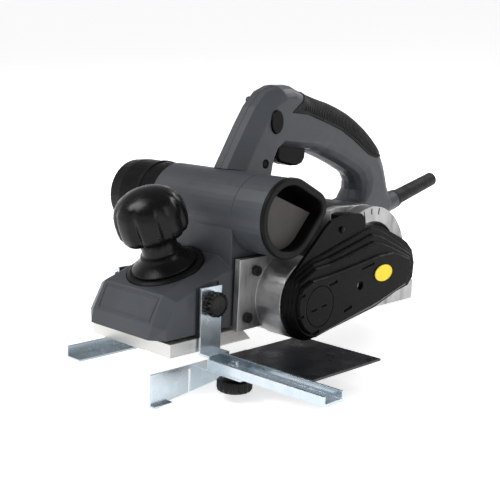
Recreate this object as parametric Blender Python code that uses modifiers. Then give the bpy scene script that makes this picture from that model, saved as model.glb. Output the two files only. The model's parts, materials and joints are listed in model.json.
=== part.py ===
"""Electric hand planer, 82 mm class, with a parallel guide clamped to its left side.

Frame: the sole is the plane z = 0, x = 0 is the middle of the sole and +X is the belt side,
-Y is the front.  Lengths below are in millimetres and are turned into metres by MM.
"""

import math

import bmesh
import bpy
from mathutils import Matrix, Vector

MM = 0.001
GAP = 0.3            # free gap between neighbouring pieces
SMOOTH = math.radians(35)

# Sole
SOLE_HALF = 42.0
SHOE_FRONT = -142.5
SHOE_REAR = -63.0
SHOE_TOP = 9.6
BASE_FRONT = -29.0
BASE_REAR = 145.0
PLATE_THICK = 6.0
RIM_TOP = 11.0
HOUSING_FLOOR = 12.3

# Cutter drum and motor: (y, z) of their axes, both along X
DRUM = (-34.5, 28.0)
DRUM_R = 26.5
CUT_R = 28.0
MOTOR = (56.0, 45.0)
MOTOR_R = 46.0
PULLEY_X = (72.0, 79.0)
SHAFT_END = 79.3
DRIVEN_R = 15.0
DRIVE_R = 10.0

# Belt side casting and cover
CASE_X = 42.3
CASE_PLATE = 5.0
CASE_RING = (-34.5, 31.0, 30.3)
CASE_RING_X = 71.0
MOTOR_FACE_X = 60.0
MOTOR_END = -62.0
COVER_X = 84.0

# Chip duct, along X
DUCT = (-57.0, 92.5)
DUCT_R = 28.6
DUCT_WALL = 2.6
DUCT_LEFT = 40.0
DUCT_RIGHT = -46.0
MOUTH_X = 71.5
ADAPTER_END = -97.0

# Depth knob: foot of its axis on the roof, and the axis' lean towards the front
KNOB_FOOT = (0.0, -110.0, 52.0)
KNOB_LEAN = math.radians(22.0)

# Handle
GRIP_HALF = 16.5
SHELL = 2.6

# Parallel guide
ARM_Y = (-117.4, -97.5)
ARM_MID = -107.5
ARM_FLOOR = -9.7
ARM_TOP = -2.9
ARM_END = 156.6
SHEET = 1.7
FENCE_X = 35.6
FENCE_BOTTOM = -33.7
FENCE_BOLT_X = 70.0

COLOURS = {
    "slate": ((0.075, 0.08, 0.087), 0.45, 0.0),
    "black": ((0.012, 0.012, 0.012), 0.45, 0.0),
    "rubber": ((0.016, 0.017, 0.014), 0.8, 0.0),
    "cast": ((0.33, 0.33, 0.34), 0.45, 1.0),
    "sole": ((0.62, 0.61, 0.58), 0.35, 1.0),
    "zinc": ((0.40, 0.47, 0.53), 0.3, 1.0),
    "steel": ((0.35, 0.35, 0.36), 0.3, 1.0),
    "dark_steel": ((0.03, 0.03, 0.033), 0.4, 0.6),
    "copper": ((0.55, 0.25, 0.12), 0.4, 1.0),
    "flap": ((0.10, 0.09, 0.085), 0.6, 0.0),
    "yellow": ((0.85, 0.68, 0.01), 0.4, 0.0),
    "belt": ((0.02, 0.02, 0.02), 0.85, 0.0),
}


# ---------------------------------------------------------------- scene and materials

def clear_scene():
    for obj in list(bpy.data.objects):
        bpy.data.objects.remove(obj, do_unlink=True)


def new_collection(name):
    group = bpy.data.collections.new(name)
    bpy.context.scene.collection.children.link(group)
    return group


def paint(obj, colour):
    """Give obj its own Principled material."""
    base, roughness, metallic = COLOURS[colour]
    material = bpy.data.materials.new(obj.name + "_finish")
    material.use_nodes = True
    shader = material.node_tree.nodes["Principled BSDF"]
    shader.inputs["Base Color"].default_value = (*base, 1.0)
    shader.inputs["Roughness"].default_value = roughness
    shader.inputs["Metallic"].default_value = metallic
    obj.data.materials.clear()
    obj.data.materials.append(material)


def shade(obj):
    obj.data.shade_smooth()
    obj.data.set_sharp_from_angle(angle=SMOOTH)


def finish_mesh(name, bm, colour=None):
    """Turn a bmesh in millimetres into an object: a part with a colour, or a cutter without."""
    bmesh.ops.recalc_face_normals(bm, faces=bm.faces)
    bmesh.ops.scale(bm, vec=(MM, MM, MM), verts=bm.verts)
    mesh = bpy.data.meshes.new(name)
    bm.to_mesh(mesh)
    bm.free()
    obj = bpy.data.objects.new(name, mesh)
    if colour is None:
        CUTTERS.objects.link(obj)
        obj.hide_render = True
        obj.display_type = "WIRE"
    else:
        PARTS.objects.link(obj)
        paint(obj, colour)
        shade(obj)
    return obj


# ---------------------------------------------------------------- basic solids

def box(name, x, y, z, colour=None):
    """A block between the given (low, high) pairs."""
    bm = bmesh.new()
    bmesh.ops.create_cube(bm, size=1.0)
    bmesh.ops.scale(bm, vec=(x[1] - x[0], y[1] - y[0], z[1] - z[0]), verts=bm.verts)
    middle = Vector(((x[0] + x[1]) / 2, (y[0] + y[1]) / 2, (z[0] + z[1]) / 2))
    bmesh.ops.translate(bm, vec=middle, verts=bm.verts)
    return finish_mesh(name, bm, colour)


def rod(name, start, end, radius, colour=None, end_radius=None, sides=32):
    """A round bar or cone from start to end."""
    a, b = Vector(start), Vector(end)
    bm = bmesh.new()
    turn = (b - a).to_track_quat("Z", "Y").to_matrix().to_4x4()
    place = Matrix.Translation((a + b) / 2) @ turn
    bmesh.ops.create_cone(
        bm, cap_ends=True, segments=sides, radius1=radius,
        radius2=radius if end_radius is None else end_radius,
        depth=(b - a).length, matrix=place,
    )
    return finish_mesh(name, bm, colour)


def turned(name, profile, foot, direction, colour=None, steps=32):
    """A turned solid: profile is (radius, height) from the top down the outer side to the axis."""
    bm = bmesh.new()
    corners = [bm.verts.new((r * MM, 0.0, h * MM)) for r, h in profile]
    for a, b in zip(corners, corners[1:]):
        bm.edges.new((a, b))
    if profile[0][0] > 0 or profile[-1][0] > 0:
        bm.edges.new((corners[-1], corners[0]))
    mesh = bpy.data.meshes.new(name)
    bm.to_mesh(mesh)
    bm.free()
    obj = bpy.data.objects.new(name, mesh)
    group = CUTTERS if colour is None else PARTS
    group.objects.link(obj)
    obj.location = Vector(foot) * MM
    obj.rotation_mode = "QUATERNION"
    obj.rotation_quaternion = Vector(direction).to_track_quat("Z", "Y")
    screw = obj.modifiers.new("Turn", "SCREW")
    screw.steps = steps
    screw.render_steps = steps
    screw.use_merge_vertices = True
    screw.merge_threshold = 0.00001
    if colour is None:
        obj.hide_render = True
        obj.display_type = "WIRE"
    else:
        paint(obj, colour)
    return obj


def prism(name, outlines, axis, low, high, colour=None):
    """A flat outline, with its holes, extruded along an axis from low to high.

    Outline points are (y, z) for axis X and (x, z) for axis Y.
    """
    curve = bpy.data.curves.new(name, "CURVE")
    curve.dimensions = "2D"
    curve.fill_mode = "BOTH"
    curve.extrude = (high - low) / 2 * MM
    for outline in outlines:
        spline = curve.splines.new("POLY")
        spline.points.add(len(outline) - 1)
        for point, (u, v) in zip(spline.points, outline):
            point.co = (u * MM, v * MM, 0.0, 1.0)
        spline.use_cyclic_u = True
    flat = bpy.data.objects.new(name + "_outline", curve)
    PARTS.objects.link(flat)
    middle = (low + high) / 2 * MM
    if axis == "X":
        place = Matrix(((0, 0, 1, middle), (1, 0, 0, 0), (0, 1, 0, 0), (0, 0, 0, 1)))
    else:
        place = Matrix(((1, 0, 0, 0), (0, 0, -1, middle), (0, 1, 0, 0), (0, 0, 0, 1)))
    graph = bpy.context.evaluated_depsgraph_get()
    mesh = bpy.data.meshes.new_from_object(flat.evaluated_get(graph))
    bpy.data.objects.remove(flat, do_unlink=True)
    bm = bmesh.new()
    bm.from_mesh(mesh)
    bpy.data.meshes.remove(mesh)
    bmesh.ops.remove_doubles(bm, verts=bm.verts, dist=0.000001)
    bmesh.ops.dissolve_limit(bm, angle_limit=math.radians(0.5), verts=bm.verts, edges=bm.edges)
    bmesh.ops.transform(bm, matrix=place, verts=bm.verts)
    bmesh.ops.scale(bm, vec=(1 / MM, 1 / MM, 1 / MM), verts=bm.verts)
    return finish_mesh(name, bm, colour)


def hull(name, points, colour=None):
    """The smallest convex solid round the points."""
    bm = bmesh.new()
    for point in points:
        bm.verts.new(point)
    made = bmesh.ops.convex_hull(bm, input=bm.verts)
    bmesh.ops.delete(bm, geom=list({*made["geom_interior"], *made["geom_unused"]}), context="VERTS")
    bmesh.ops.dissolve_limit(bm, angle_limit=math.radians(1.0), verts=bm.verts, edges=bm.edges)
    return finish_mesh(name, bm, colour)


def wire(name, points, radius, colour):
    """A round wire through the points."""
    curve = bpy.data.curves.new(name, "CURVE")
    curve.dimensions = "3D"
    curve.bevel_depth = radius * MM
    curve.bevel_resolution = 1
    curve.use_fill_caps = True
    spline = curve.splines.new("POLY")
    spline.points.add(len(points) - 1)
    for point, place in zip(spline.points, points):
        point.co = (*(Vector(place) * MM), 1.0)
    obj = bpy.data.objects.new(name, curve)
    PARTS.objects.link(obj)
    paint(obj, colour)
    return obj


def combine(obj, other, operation="DIFFERENCE"):
    """Cut, join or trim obj with another solid, kept as a hidden cutter."""
    for group in list(other.users_collection):
        group.objects.unlink(other)
    CUTTERS.objects.link(other)
    other.hide_render = True
    other.display_type = "WIRE"
    boolean = obj.modifiers.new(operation.title(), "BOOLEAN")
    boolean.operation = operation
    boolean.solver = "EXACT"
    boolean.object = other


def bevel_end(obj, x, width, segments=2):
    """Round the edges of a prism's end face at x."""
    bm = bmesh.new()
    bm.from_mesh(obj.data)
    rim = [e for e in bm.edges if all(abs(v.co.x - x * MM) < 0.00001 for v in e.verts)
           and e.calc_face_angle() > math.radians(60)]
    bmesh.ops.bevel(bm, geom=rim, offset=width * MM, segments=segments, profile=0.5,
                    affect="EDGES", clamp_overlap=True)
    bm.to_mesh(obj.data)
    bm.free()
    shade(obj)


# ---------------------------------------------------------------- outline helpers

def arc(centre, radius, start, end, steps):
    """Points of an arc, angles in degrees from the first axis of the outline."""
    points = []
    for i in range(steps + 1):
        t = math.radians(start + (end - start) * i / steps)
        points.append((centre[0] + radius * math.cos(t), centre[1] + radius * math.sin(t)))
    return points


def round_hull(big, big_r, small, small_r, steps=20):
    """Outline of two circles with their common outer tangents (a D or a belt shape)."""
    dy, dz = small[0] - big[0], small[1] - big[1]
    lie = math.degrees(math.atan2(dz, dy))
    spread = math.degrees(math.acos((big_r - small_r) / math.hypot(dy, dz)))
    return (arc(small, small_r, lie - spread, lie + spread, steps // 2)
            + arc(big, big_r, lie + spread, lie + 360 - spread, steps))


def inset_vectors(outline):
    """For each corner of an anticlockwise outline, how it moves when the edges move in by 1."""
    vectors = []
    count = len(outline)
    for i in range(count):
        before, here, after = (Vector(outline[j % count]) for j in (i - 1, i, i + 1))
        a, b = (here - before).normalized(), (after - here).normalized()
        side_a, side_b = Vector((-a.y, a.x)), Vector((-b.y, b.x))
        middle = (side_a + side_b).normalized()
        vectors.append(tuple(middle / max(0.5, middle.dot(side_a))))
    return vectors


def inset(outline, distance):
    """The outline moved inwards; it runs anticlockwise."""
    return [(y + u * distance, z + v * distance)
            for (y, z), (u, v) in zip(outline, inset_vectors(outline))]


def knob_axis():
    return Vector((0.0, -math.sin(KNOB_LEAN), math.cos(KNOB_LEAN)))


def along_knob(height):
    """A point on the depth knob's axis, height above the roof."""
    return Vector(KNOB_FOOT) + knob_axis() * height


# ---------------------------------------------------------------- sole

def front_shoe():
    outline = [(SHOE_FRONT, 0), (SHOE_REAR, 0), (SHOE_REAR - 10, SHOE_TOP),
               (SHOE_FRONT, SHOE_TOP)]
    shoe = prism("front_shoe", [outline], "X", -SOLE_HALF, SOLE_HALF, "sole")
    combine(shoe, box("shoe_pocket", (-SOLE_HALF + 4, SOLE_HALF - 4),
                      (SHOE_FRONT + 5, SHOE_REAR - 16), (5.0, SHOE_TOP + 5)))
    combine(shoe, rod("shoe_boss", along_knob(-51), along_knob(-34), 9, sides=24), "UNION")
    combine(shoe, rod("shoe_boss_bore", along_knob(-44), along_knob(-20), 4.3, sides=20))
    return shoe


def rear_base():
    base = box("rear_base", (-SOLE_HALF, SOLE_HALF), (BASE_FRONT, BASE_REAR), (0, RIM_TOP), "sole")
    combine(base, box("base_pocket", (-SOLE_HALF + 3.5, SOLE_HALF - 3.5),
                      (BASE_FRONT - 5, BASE_REAR - 3.5), (PLATE_THICK, RIM_TOP + 5)))
    for side in (-1, 1):
        edges = sorted((side * SOLE_HALF, side * (SOLE_HALF - 8)))
        combine(base, box(f"base_corner_{side}", edges, (112, BASE_REAR), (5, 16.5)), "UNION")
    combine(base, box("right_cheek", (-47.3, -SOLE_HALF), (-83, 8), (1, 61)), "UNION")
    combine(base, hull("cheek_corner", [
        (x, y, z) for x in (-60, -30) for y, z in ((-100, 45), (-100, 80), (-60, 80))]))
    combine(base, rod("base_throat", (-42, *DRUM), (60, *DRUM), CUT_R + 0.9, sides=40))
    combine(base, rod("cheek_bearing_bore", (-60, *DRUM), (-30, *DRUM), 13.0, sides=32))
    return base


# ---------------------------------------------------------------- belt side

def belt_case():
    y, z, radius = CASE_RING
    plate_end = CASE_X + CASE_PLATE
    outline = ([(-83, 9.5), (92, 12.5)] + arc(MOTOR, MOTOR_R, -44, 96, 18)
               + [(26, 91.5), (-6, 87), (-16, 62), (-82, 62)])
    case = prism("belt_case", [outline], "X", CASE_X, plate_end, "cast")
    combine(case, rod("case_motor_disc", (plate_end - 1, *MOTOR), (MOTOR_FACE_X, *MOTOR),
                      MOTOR_R - 0.2, sides=56), "UNION")
    combine(case, box("case_foot_trim", (30, MOTOR_FACE_X + 9), (0, 120), (-10, 12.5)))
    combine(case, rod("case_ring", (plate_end - 1, y, z), (CASE_RING_X, y, z), radius, sides=48),
            "UNION")
    combine(case, rod("case_ring_bore", (plate_end + 3, y, z), (CASE_RING_X + 9, y, z),
                      radius - 3, sides=48))
    combine(case, rod("case_motor_bore", (plate_end, *MOTOR), (MOTOR_FACE_X + 9, *MOTOR),
                      MOTOR_R - 12, sides=48))
    combine(case, rod("case_drum_hole", (30, *DRUM), (60, *DRUM), 16.0, sides=32))
    combine(case, rod("case_shaft_hole", (30, *MOTOR), (60, *MOTOR), 11.0, sides=28))
    for name, (screw_y, screw_z) in FLANGE_SCREWS.items():
        combine(case, rod("hole_" + name, (30, screw_y, screw_z), (60, screw_y, screw_z), 2.6,
                          sides=16))
    return case


FLANGE_SCREWS = {"flange_screw_upper": (-66.0, 52.5), "flange_screw_lower": (-74.0, 19.0)}


def pan_screw(name, y, z, seat, depth, colour="dark_steel", radius=3.8):
    """A pan head screw along X, its head standing on the plane x = seat."""
    side = 1 if depth < seat else -1
    head = rod(name, (seat + side * GAP, y, z), (seat + side * 3.0, y, z), radius, colour, sides=20)
    combine(head, rod(name + "_shank", (seat + side * 2.0, y, z), (depth, y, z), 2.2, sides=16),
            "UNION")
    combine(head, box(name + "_slot", sorted((seat + side * 1.9, seat + side * 9)),
                      (y - 0.5, y + 0.5), (z - 2.3, z + 2.3)))
    combine(head, box(name + "_cross", sorted((seat + side * 1.9, seat + side * 9)),
                      (y - 2.3, y + 2.3), (z - 0.5, z + 0.5)))
    return head


def cover_foot(low, back):
    """Lower and rear edge of a cover terrace, drawn in by low from below and back from behind."""
    return [(45 - 0.4 * back, 13 + 0.95 * low), (74 - 0.6 * back, 22 + 0.7 * low),
            (90 - back, 25 + 0.7 * low), (96 - back, 31 + 0.7 * low), (97 - back, 43)]


def cover_outline():
    """Edge of the belt cover: round the drum in front, a flat foot, a blunt rear lobe, a step."""
    y, z, radius = CASE_RING
    return (arc((y, z), radius, 148, 272, 14) + cover_foot(0, 0)
            + [(93, 54), (85, 61), (76, 66), (64, 71), (50, 77), (36, 80), (28, 79.5), (27, 86),
               (22, 90), (8, 91), (-14, 87.5), (-20, 83.5)])


# Terraces of the cover face: outer plane, front radius, how far the lower and the rear edge are
# drawn in, upper edge
TERRACES = (
    (76.0, 29.4, 1.6, 4.0, [(90, 53), (76, 61), (60, 69), (46, 75.5), (34, 78.3), (18, 75),
                            (-2, 70), (-20, 65.3), (-38, 60.6)]),
    (78.6, 28.2, 3.4, 8.5, [(86, 52), (74, 58), (58, 65), (44, 71), (33, 73.6), (18, 70),
                            (-2, 65.4), (-20, 61.2), (-38, 58.6)]),
    (81.2, 27.0, 5.4, 12.5, [(81, 51), (70, 55.4), (55, 61.6), (42, 66), (32, 68.3), (17, 65),
                             (-2, 61), (-22, 57.3), (-38, 56.0)]),
    (COVER_X, 24.4, 7.6, 17.5, [(77, 50), (67, 54), (54, 57.8), (36, 57.5), (4, 53), (-26, 49.4),
                                (-44, 48.2)]),
)

# Slits and marks in the cover face: (y, z, length, width, slope in degrees)
COVER_SLITS = ((20.3, 51.0, 16, 1.6, 9), (-21.4, 43.6, 10, 2.4, 8), (-2.3, 21.3, 10, 2.4, 14),
               (-56.0, 38.5, 7, 2.0, 5), (-56.5, 23.0, 7, 2.0, 5), (-40.0, 9.0, 10, 2.0, 12),
               (-42.0, 26.2, 6, 1.5, 8), (-31.0, 28.0, 6, 1.5, 8))


def belt_cover():
    edge = cover_outline()
    cover = prism("belt_cover", [edge], "X", CASE_RING_X + GAP, CASE_RING_X + 3, "black")
    y, z, _ = CASE_RING
    below = CASE_RING_X + 2
    for i, (plane, radius, low, back, upper) in enumerate(TERRACES):
        outline = arc((y, z), radius, 130 + 6 * i, 272, 14) + cover_foot(low, back) + upper
        terrace = prism(f"cover_terrace_{i}", [outline], "X", below, plane)
        bevel_end(terrace, plane, 1.1, 1)
        combine(cover, terrace, "UNION")
        below = plane - 1.5
    skirt = prism("cover_skirt", [inset(edge, 0.4)], "X", MOTOR_FACE_X + GAP, CASE_RING_X + 2)
    combine(cover, skirt, "UNION")
    combine(cover, box("skirt_trim", (0, CASE_RING_X + GAP), (-90, 2), (-20, 120)))
    combine(cover, prism("cover_hollow", [inset(edge, 4.5)], "X", 30, CASE_RING_X + 0.8))
    drive = round_hull(DRUM, DRIVEN_R + 6.0, MOTOR, DRIVE_R + 4.0, 28)
    combine(cover, prism("drive_room", [drive], "X", 30, PULLEY_X[1] + 0.9))
    combine(cover, box("cover_foot_trim", (0, CASE_RING_X + 0.2), (-90, 160), (-20, RIM_TOP + 2)))
    for i in range(3):
        low = 34.0 + 6.6 * i
        combine(cover, box(f"cover_vent_{i}", (74.6, COVER_X + 9), (75.5 + i, 110), (low, low + 3)))
    combine(cover, rod("cover_hole", (60, 11.8, 37.1), (100, 11.8, 37.1), 3.5, sides=20))
    combine(cover, rod("cover_screw_hole", (60, -2, 80), (100, -2, 80), 2.5, sides=16))
    for i, slit in enumerate(COVER_SLITS):
        combine(cover, face_groove(f"cover_slit_{i}", slit, COVER_X - 1.2))
    groove = prism("cover_disc_groove", [arc((-35.6, 28.2), 15.6, 0, 360, 40)[:-1],
                                         arc((-35.6, 28.2), 14.8, 0, 360, 40)[:-1]],
                   "X", COVER_X - 0.8, COVER_X + 5)
    combine(cover, groove)
    return cover


def face_groove(name, slit, floor):
    """A narrow groove in the cover face, cut down to the plane x = floor."""
    y, z, length, width, slope = slit
    t = math.radians(slope)
    corners = []
    for u, v in ((-1, -1), (1, -1), (1, 1), (-1, 1)):
        along, across = u * length / 2, v * width / 2
        corners.append((y + along * math.cos(t) - across * math.sin(t),
                        z + along * math.sin(t) + across * math.cos(t)))
    return prism(name, [corners], "X", floor, COVER_X + 5)


def cover_badge():
    badge = rod("cover_badge", (COVER_X + GAP, 40, 43.5), (COVER_X + 0.9, 40, 43.5), 6.5, "yellow",
                sides=36)
    for vertex in badge.data.vertices:
        vertex.co.y = 40 * MM + (vertex.co.y - 40 * MM) * 1.7
    return badge


# ---------------------------------------------------------------- housing and duct

def front_housing():
    sides = []
    for s in (-1, 1):
        sides += [(s * 41, -83, HOUSING_FLOOR), (s * 41, -145, HOUSING_FLOOR),
                  (s * 31, -153, HOUSING_FLOOR), (s * 40.5, -146, 20), (s * 32, -150.5, 22),
                  (s * 31, -140.5, 42), (s * 40.5, -136, 38), (s * 41, -83, 55.5),
                  (s * 26, -83, 62.9), (s * 26, -139, 41.2)]
    body = hull("front_housing", sides, "slate")
    hood = [(-84, HOUSING_FLOOR), (2, HOUSING_FLOOR), (2, 65.5), (-33.5, 65.5), (-34, 73),
            (-57, 85), (-83, 92), (-84, 85)]
    combine(body, prism("hood", [hood], "X", -41, DUCT_LEFT), "UNION")
    combine(body, rod("duct_body", (DUCT_RIGHT, *DUCT), (DUCT_LEFT, *DUCT), DUCT_R, sides=48),
            "UNION")
    combine(body, rod("duct_bore", (DUCT_RIGHT - 9, *DUCT), (DUCT_LEFT + 9, *DUCT),
                      DUCT_R - DUCT_WALL, sides=48))
    combine(body, rod("drum_room", (-60, *DRUM), (60, *DRUM), CUT_R + 1.2, sides=48))
    combine(body, box("chip_passage", (-37, 37), (-64, -40), (45, 76)))
    room = [(-80, 5), (-80, 54), (-134, 34.5), (-137.5, 33), (-145, 20), (-145, 5)]
    combine(body, prism("spring_room", [room], "X", -36, 36))
    combine(body, rod("dial_seat", along_knob(-0.1), along_knob(12), 29.2, sides=48))
    combine(body, box("hood_rear_room", (-37, 37), (-9, -1.5), (5, 34)))
    combine(body, rod("spindle_bore", along_knob(-60), along_knob(40), 4.6, sides=24))
    combine(body, box("strap_seat_left", (39.4, 60), (-118.5, -96.5), (0, 48)))
    combine(body, box("strap_seat_right", (-60, -39.4), (-118.5, -96.5), (0, 48)))
    for side in (-1, 1):
        combine(body, rod(f"stud_bore_{side}", (side * 30, ARM_MID, 34), (side * 60, ARM_MID, 34),
                          3.4, sides=20))
    for name, (y, z) in FLANGE_SCREWS.items():
        combine(body, rod("seat_" + name, (30, y, z), (60, y, z), 2.5, sides=16))
    return body


def mouth_outline(grow):
    """D-shaped outline of the duct's left mouth, with a round lobe to the rear."""
    return round_hull(DUCT, DUCT_R + grow, (-30.0, 97.5), 12.0 + grow, 28)


def duct_outlet():
    return prism("duct_outlet", [mouth_outline(0), mouth_outline(-3.2)], "X",
                 DUCT_LEFT + GAP, MOUTH_X - 3.5, "slate")


def duct_rim():
    rim = prism("duct_rim", [mouth_outline(0.6), mouth_outline(-3.6)], "X",
                MOUTH_X - 3.2, MOUTH_X, "black")
    return rim


def duct_baffle():
    """Black plate that closes the duct behind the flap."""
    return prism("duct_baffle", [mouth_outline(-3.2 - GAP)], "X", DUCT_LEFT + 1.5, DUCT_LEFT + 4,
                 "black")


def duct_flap():
    """Chip deflector in the left mouth, standing on the baffle."""
    outline = [(-77.4, 84), (-77.2, 79), (-73, 73.5), (-67.5, 70.4), (-62, 72), (-33, 86.5),
               (-30.5, 91.5), (-34, 97), (-60, 108), (-68.6, 109.5), (-74, 103)]
    return prism("duct_flap", [outline], "X", DUCT_LEFT + 4 + GAP, 61, "flap")


def duct_adapter():
    """Round black outlet adapter: a stepped tube, open at both ends."""
    length = DUCT_RIGHT - GAP - ADAPTER_END
    outer, inner = DUCT_R - 0.4, DUCT_R - 3.6
    profile = [(inner - 1, length), (outer - 1.6, length), (outer, length * 0.75), (outer, 0),
               (inner, 0)]
    return turned("duct_adapter", profile, (DUCT_RIGHT - GAP, *DUCT), (-1, 0, 0), "black", 40)


def motor_housing():
    """Round shell over the motor, flat below where it stands on the base."""
    outline = arc(MOTOR, MOTOR_R, -45, 225, 30)
    shell = prism("motor_housing", [outline], "X", MOTOR_END, CASE_X - GAP, "slate")
    bevel_end(shell, MOTOR_END, 4.0)
    combine(shell, prism("motor_room", [inset(outline, 3.0)], "X", MOTOR_END + 3, 60))
    for i in range(5):
        height = 27 + 9 * i
        combine(shell, box(f"motor_vent_{i}", (MOTOR_END - 9, MOTOR_END + 9), (40, 72),
                           (height, height + 3.5)))
    return shell


# ---------------------------------------------------------------- handle

CORD_FOOT = (0.0, 152.0, 77.6)
CORD_RISE = math.radians(14)


def along_cord(distance):
    """A point on the cord's axis, distance behind the foot of the guard."""
    return Vector(CORD_FOOT) + Vector((0, math.cos(CORD_RISE), math.sin(CORD_RISE))) * distance


CORD_BOSS = (along_cord(-14), along_cord(14))


# Side view of the handle at mid plane: (y, z, how far that edge is rounded).  It runs anticlockwise
# from the tail over the crest, down the front pillar (faceted, marked -1), and round the hand hole.
HANDLE = (
    (112, 63.5, 0.2), (128, 66.5, 0.3), (140, 70.5, 0.35), (146.5, 77, 0.4), (148, 84, 0.5),
    (146, 91, 0.8), (143.5, 98, 1), (140.5, 107, 1), (136.5, 117, 1), (131, 125.7, 1),
    (123.5, 133.7, 1), (114.8, 141, 1), (104.5, 148.5, 1), (93, 155.3, 1), (82, 160.5, 1),
    (69.6, 165.1, 1), (56, 169.2, 1), (41, 172.6, 1), (28, 176, 0.9), (19, 180, 0.8),
    (9, 183.6, 0.75), (-5.5, 183.5, 0.8), (-17.4, 178, -1), (-28.7, 167.2, -1),
    (-37.9, 153.8, -1), (-48.6, 136.5, -1), (-57.5, 122, -1), (-66, 108.2, -1),
    (-52, 88, 0), (-31.5, 88, 0), (-31.5, 66, 0), (30, 66, 0), (42, 80, 0),
    (28, 93, 0.1), (-7, 93.5, 0.1), (-13, 97, 0.2), (-15.5, 106, 0.3), (-15, 116, 0.3),
    (-12.5, 126, 0.35), (-8.5, 133, 0.4), (-3, 136, 0.45), (33, 131.5, 0.6), (48, 127.2, 0.9),
    (64, 121.6, 1), (78, 116, 1), (90, 110.8, 1), (97, 106.5, 1), (100.8, 101, 1),
    (101.5, 95, 0.8), (99.5, 88, 0.4), (94, 84.8, 0.1), (80, 84.8, 0), (70, 74, 0), (84, 60, 0),
)

# Cross-section of the handle: (share of the half width, inset if rounded, inset if faceted)
SECTION = ((0.40, 1.0, 0.0), (0.67, 3.6, 4.5), (0.87, 7.6, 8.0), (0.97, 11.2, 9.8),
           (1.0, 13.4, 10.8))


def handle_form(name, side, half, shrink, colour=None):
    """Half of the handle's solid form, from the split plane outwards, drawn in by shrink."""
    outline = [(y, z) for y, z, _ in HANDLE]
    rings = [(side * (GAP / 2 if shrink == 0 else -3.0), inset(outline, shrink))]
    for share, rounded, faceted in SECTION:
        ring = []
        for (y, z, weight), (u, v) in zip(HANDLE, inset_vectors(outline)):
            move = shrink + (faceted if weight < 0 else rounded * weight)
            ring.append((y + u * move, z + v * move))
        rings.append((side * share * half, ring))
    bm = bmesh.new()
    loops = [[bm.verts.new((x, y, z)) for y, z in ring] for x, ring in rings]
    for low, high in zip(loops, loops[1:]):
        for i in range(len(low)):
            bm.faces.new((low[i - 1], low[i], high[i], high[i - 1]))
    bm.faces.new(loops[0])
    bm.faces.new(loops[-1])
    bm.normal_update()
    bmesh.ops.triangulate(bm, faces=bm.faces, ngon_method="EAR_CLIP")
    return finish_mesh(name, bm, colour)


def seat_cuts(obj, name):
    """Cut the seats that fit the handle on the duct and on the motor housing."""
    combine(obj, rod(name + "_duct_seat", (-60, *DUCT), (60, *DUCT), DUCT_R + GAP, sides=48))
    combine(obj, rod(name + "_motor_seat", (-80, *MOTOR), (60, *MOTOR), MOTOR_R + GAP, sides=64))


# Side view of the rubber cap's edge, from its rear end round its lower edge to its front end
CAP_EDGE = ((160, 128), (131, 125.5), (117, 123.2), (106, 126), (98, 130.2), (82, 139.8),
            (65, 148.2), (43.5, 155.2), (21, 161.8), (3.5, 163), (24, 178), (30, 200), (160, 200))


def cap_region(name, grow):
    """Prism through the handle that holds the rubber cap."""
    return prism(name, [inset(CAP_EDGE[::-1], -grow)], "X", -30, 30)


def handle_shell(name, side):
    """One half of the split handle, hollow and open towards the split."""
    shell = handle_form(name, side, GRIP_HALF, 0.0, "slate")
    combine(shell, rod(name + "_cord_boss", *CORD_BOSS, 8.6, sides=28), "UNION")
    combine(shell, box(name + "_other_half", sorted((side * GAP / 2, -side * 20)), (100, 200),
                       (50, 110)))
    combine(shell, handle_form(name + "_room", side, GRIP_HALF - SHELL, SHELL))
    combine(shell, cap_region(name + "_cap_seat", GAP))
    seat_cuts(shell, name)
    combine(shell, box(name + "_trigger_slot", (-8.6, 8.6), (-3.5, 32.5), (122, 142)))
    combine(shell, rod(name + "_cord_bore", along_cord(-40), along_cord(20), 5.6, sides=24))
    if side > 0:
        combine(shell, lock_form(name + "_button_bore", 10, 30, GAP))
        combine(shell, rod(name + "_screw_bore", (12, -25.6, 124.5), (30, -25.6, 124.5), 3.6,
                           sides=20))
    return shell


def handle_grip():
    """Rubber cap over the top of the grip, standing slightly proud of the shells."""
    grip = handle_form("handle_grip", 1, GRIP_HALF + 0.5, -0.6, "rubber")
    combine(grip, handle_form("grip_right_half", -1, GRIP_HALF + 0.5, -0.6), "UNION")
    combine(grip, cap_region("grip_edge", 0.0), "INTERSECT")
    for tag, side in (("left", 1), ("right", -1)):
        combine(grip, handle_form(f"grip_room_{tag}", side, GRIP_HALF - 3.0, 3.2))
    return grip


def lock_form(name, low, high, grow, colour=None):
    """Oval button form along X."""
    form = rod(name, (low, -15, 156), (high, -15, 156), 6.2 + grow, colour, sides=28)
    for vertex in form.data.vertices:
        vertex.co.z = 156 * MM + (vertex.co.z - 156 * MM) * 1.4
    return form


def lock_button():
    return lock_form("lock_button", 9.0, GRIP_HALF + 1.6, 0.0, "black")


def trigger():
    outline = [(-2.5, 147), (-2.5, 127), (0, 124), (14, 120.5), (22, 120.3), (28, 122), (31, 126),
               (31.5, 147)]
    block = prism("trigger", [outline], "X", -8, 8, "black")
    bevel_end(block, 8, 1.5, 1)
    bevel_end(block, -8, 1.5, 1)
    return block


def switch_body():
    return box("switch_body", (-8.5, 8.5), (-4, 40), (152.5, 158), "black")


def coil(name, foot, direction, radius, wire_radius, height, turns, colour="steel"):
    """A compression spring from foot along direction."""
    turn = Vector(direction).to_track_quat("Z", "Y")
    per_turn = 12
    points = []
    for i in range(turns * per_turn + 1):
        angle = 2 * math.pi * i / per_turn
        rise = wire_radius + (height - 2 * wire_radius) * i / (turns * per_turn)
        points.append(Vector(foot) + turn @ Vector((radius * math.cos(angle),
                                                    radius * math.sin(angle), rise)))
    return wire(name, points, wire_radius, colour)


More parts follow.
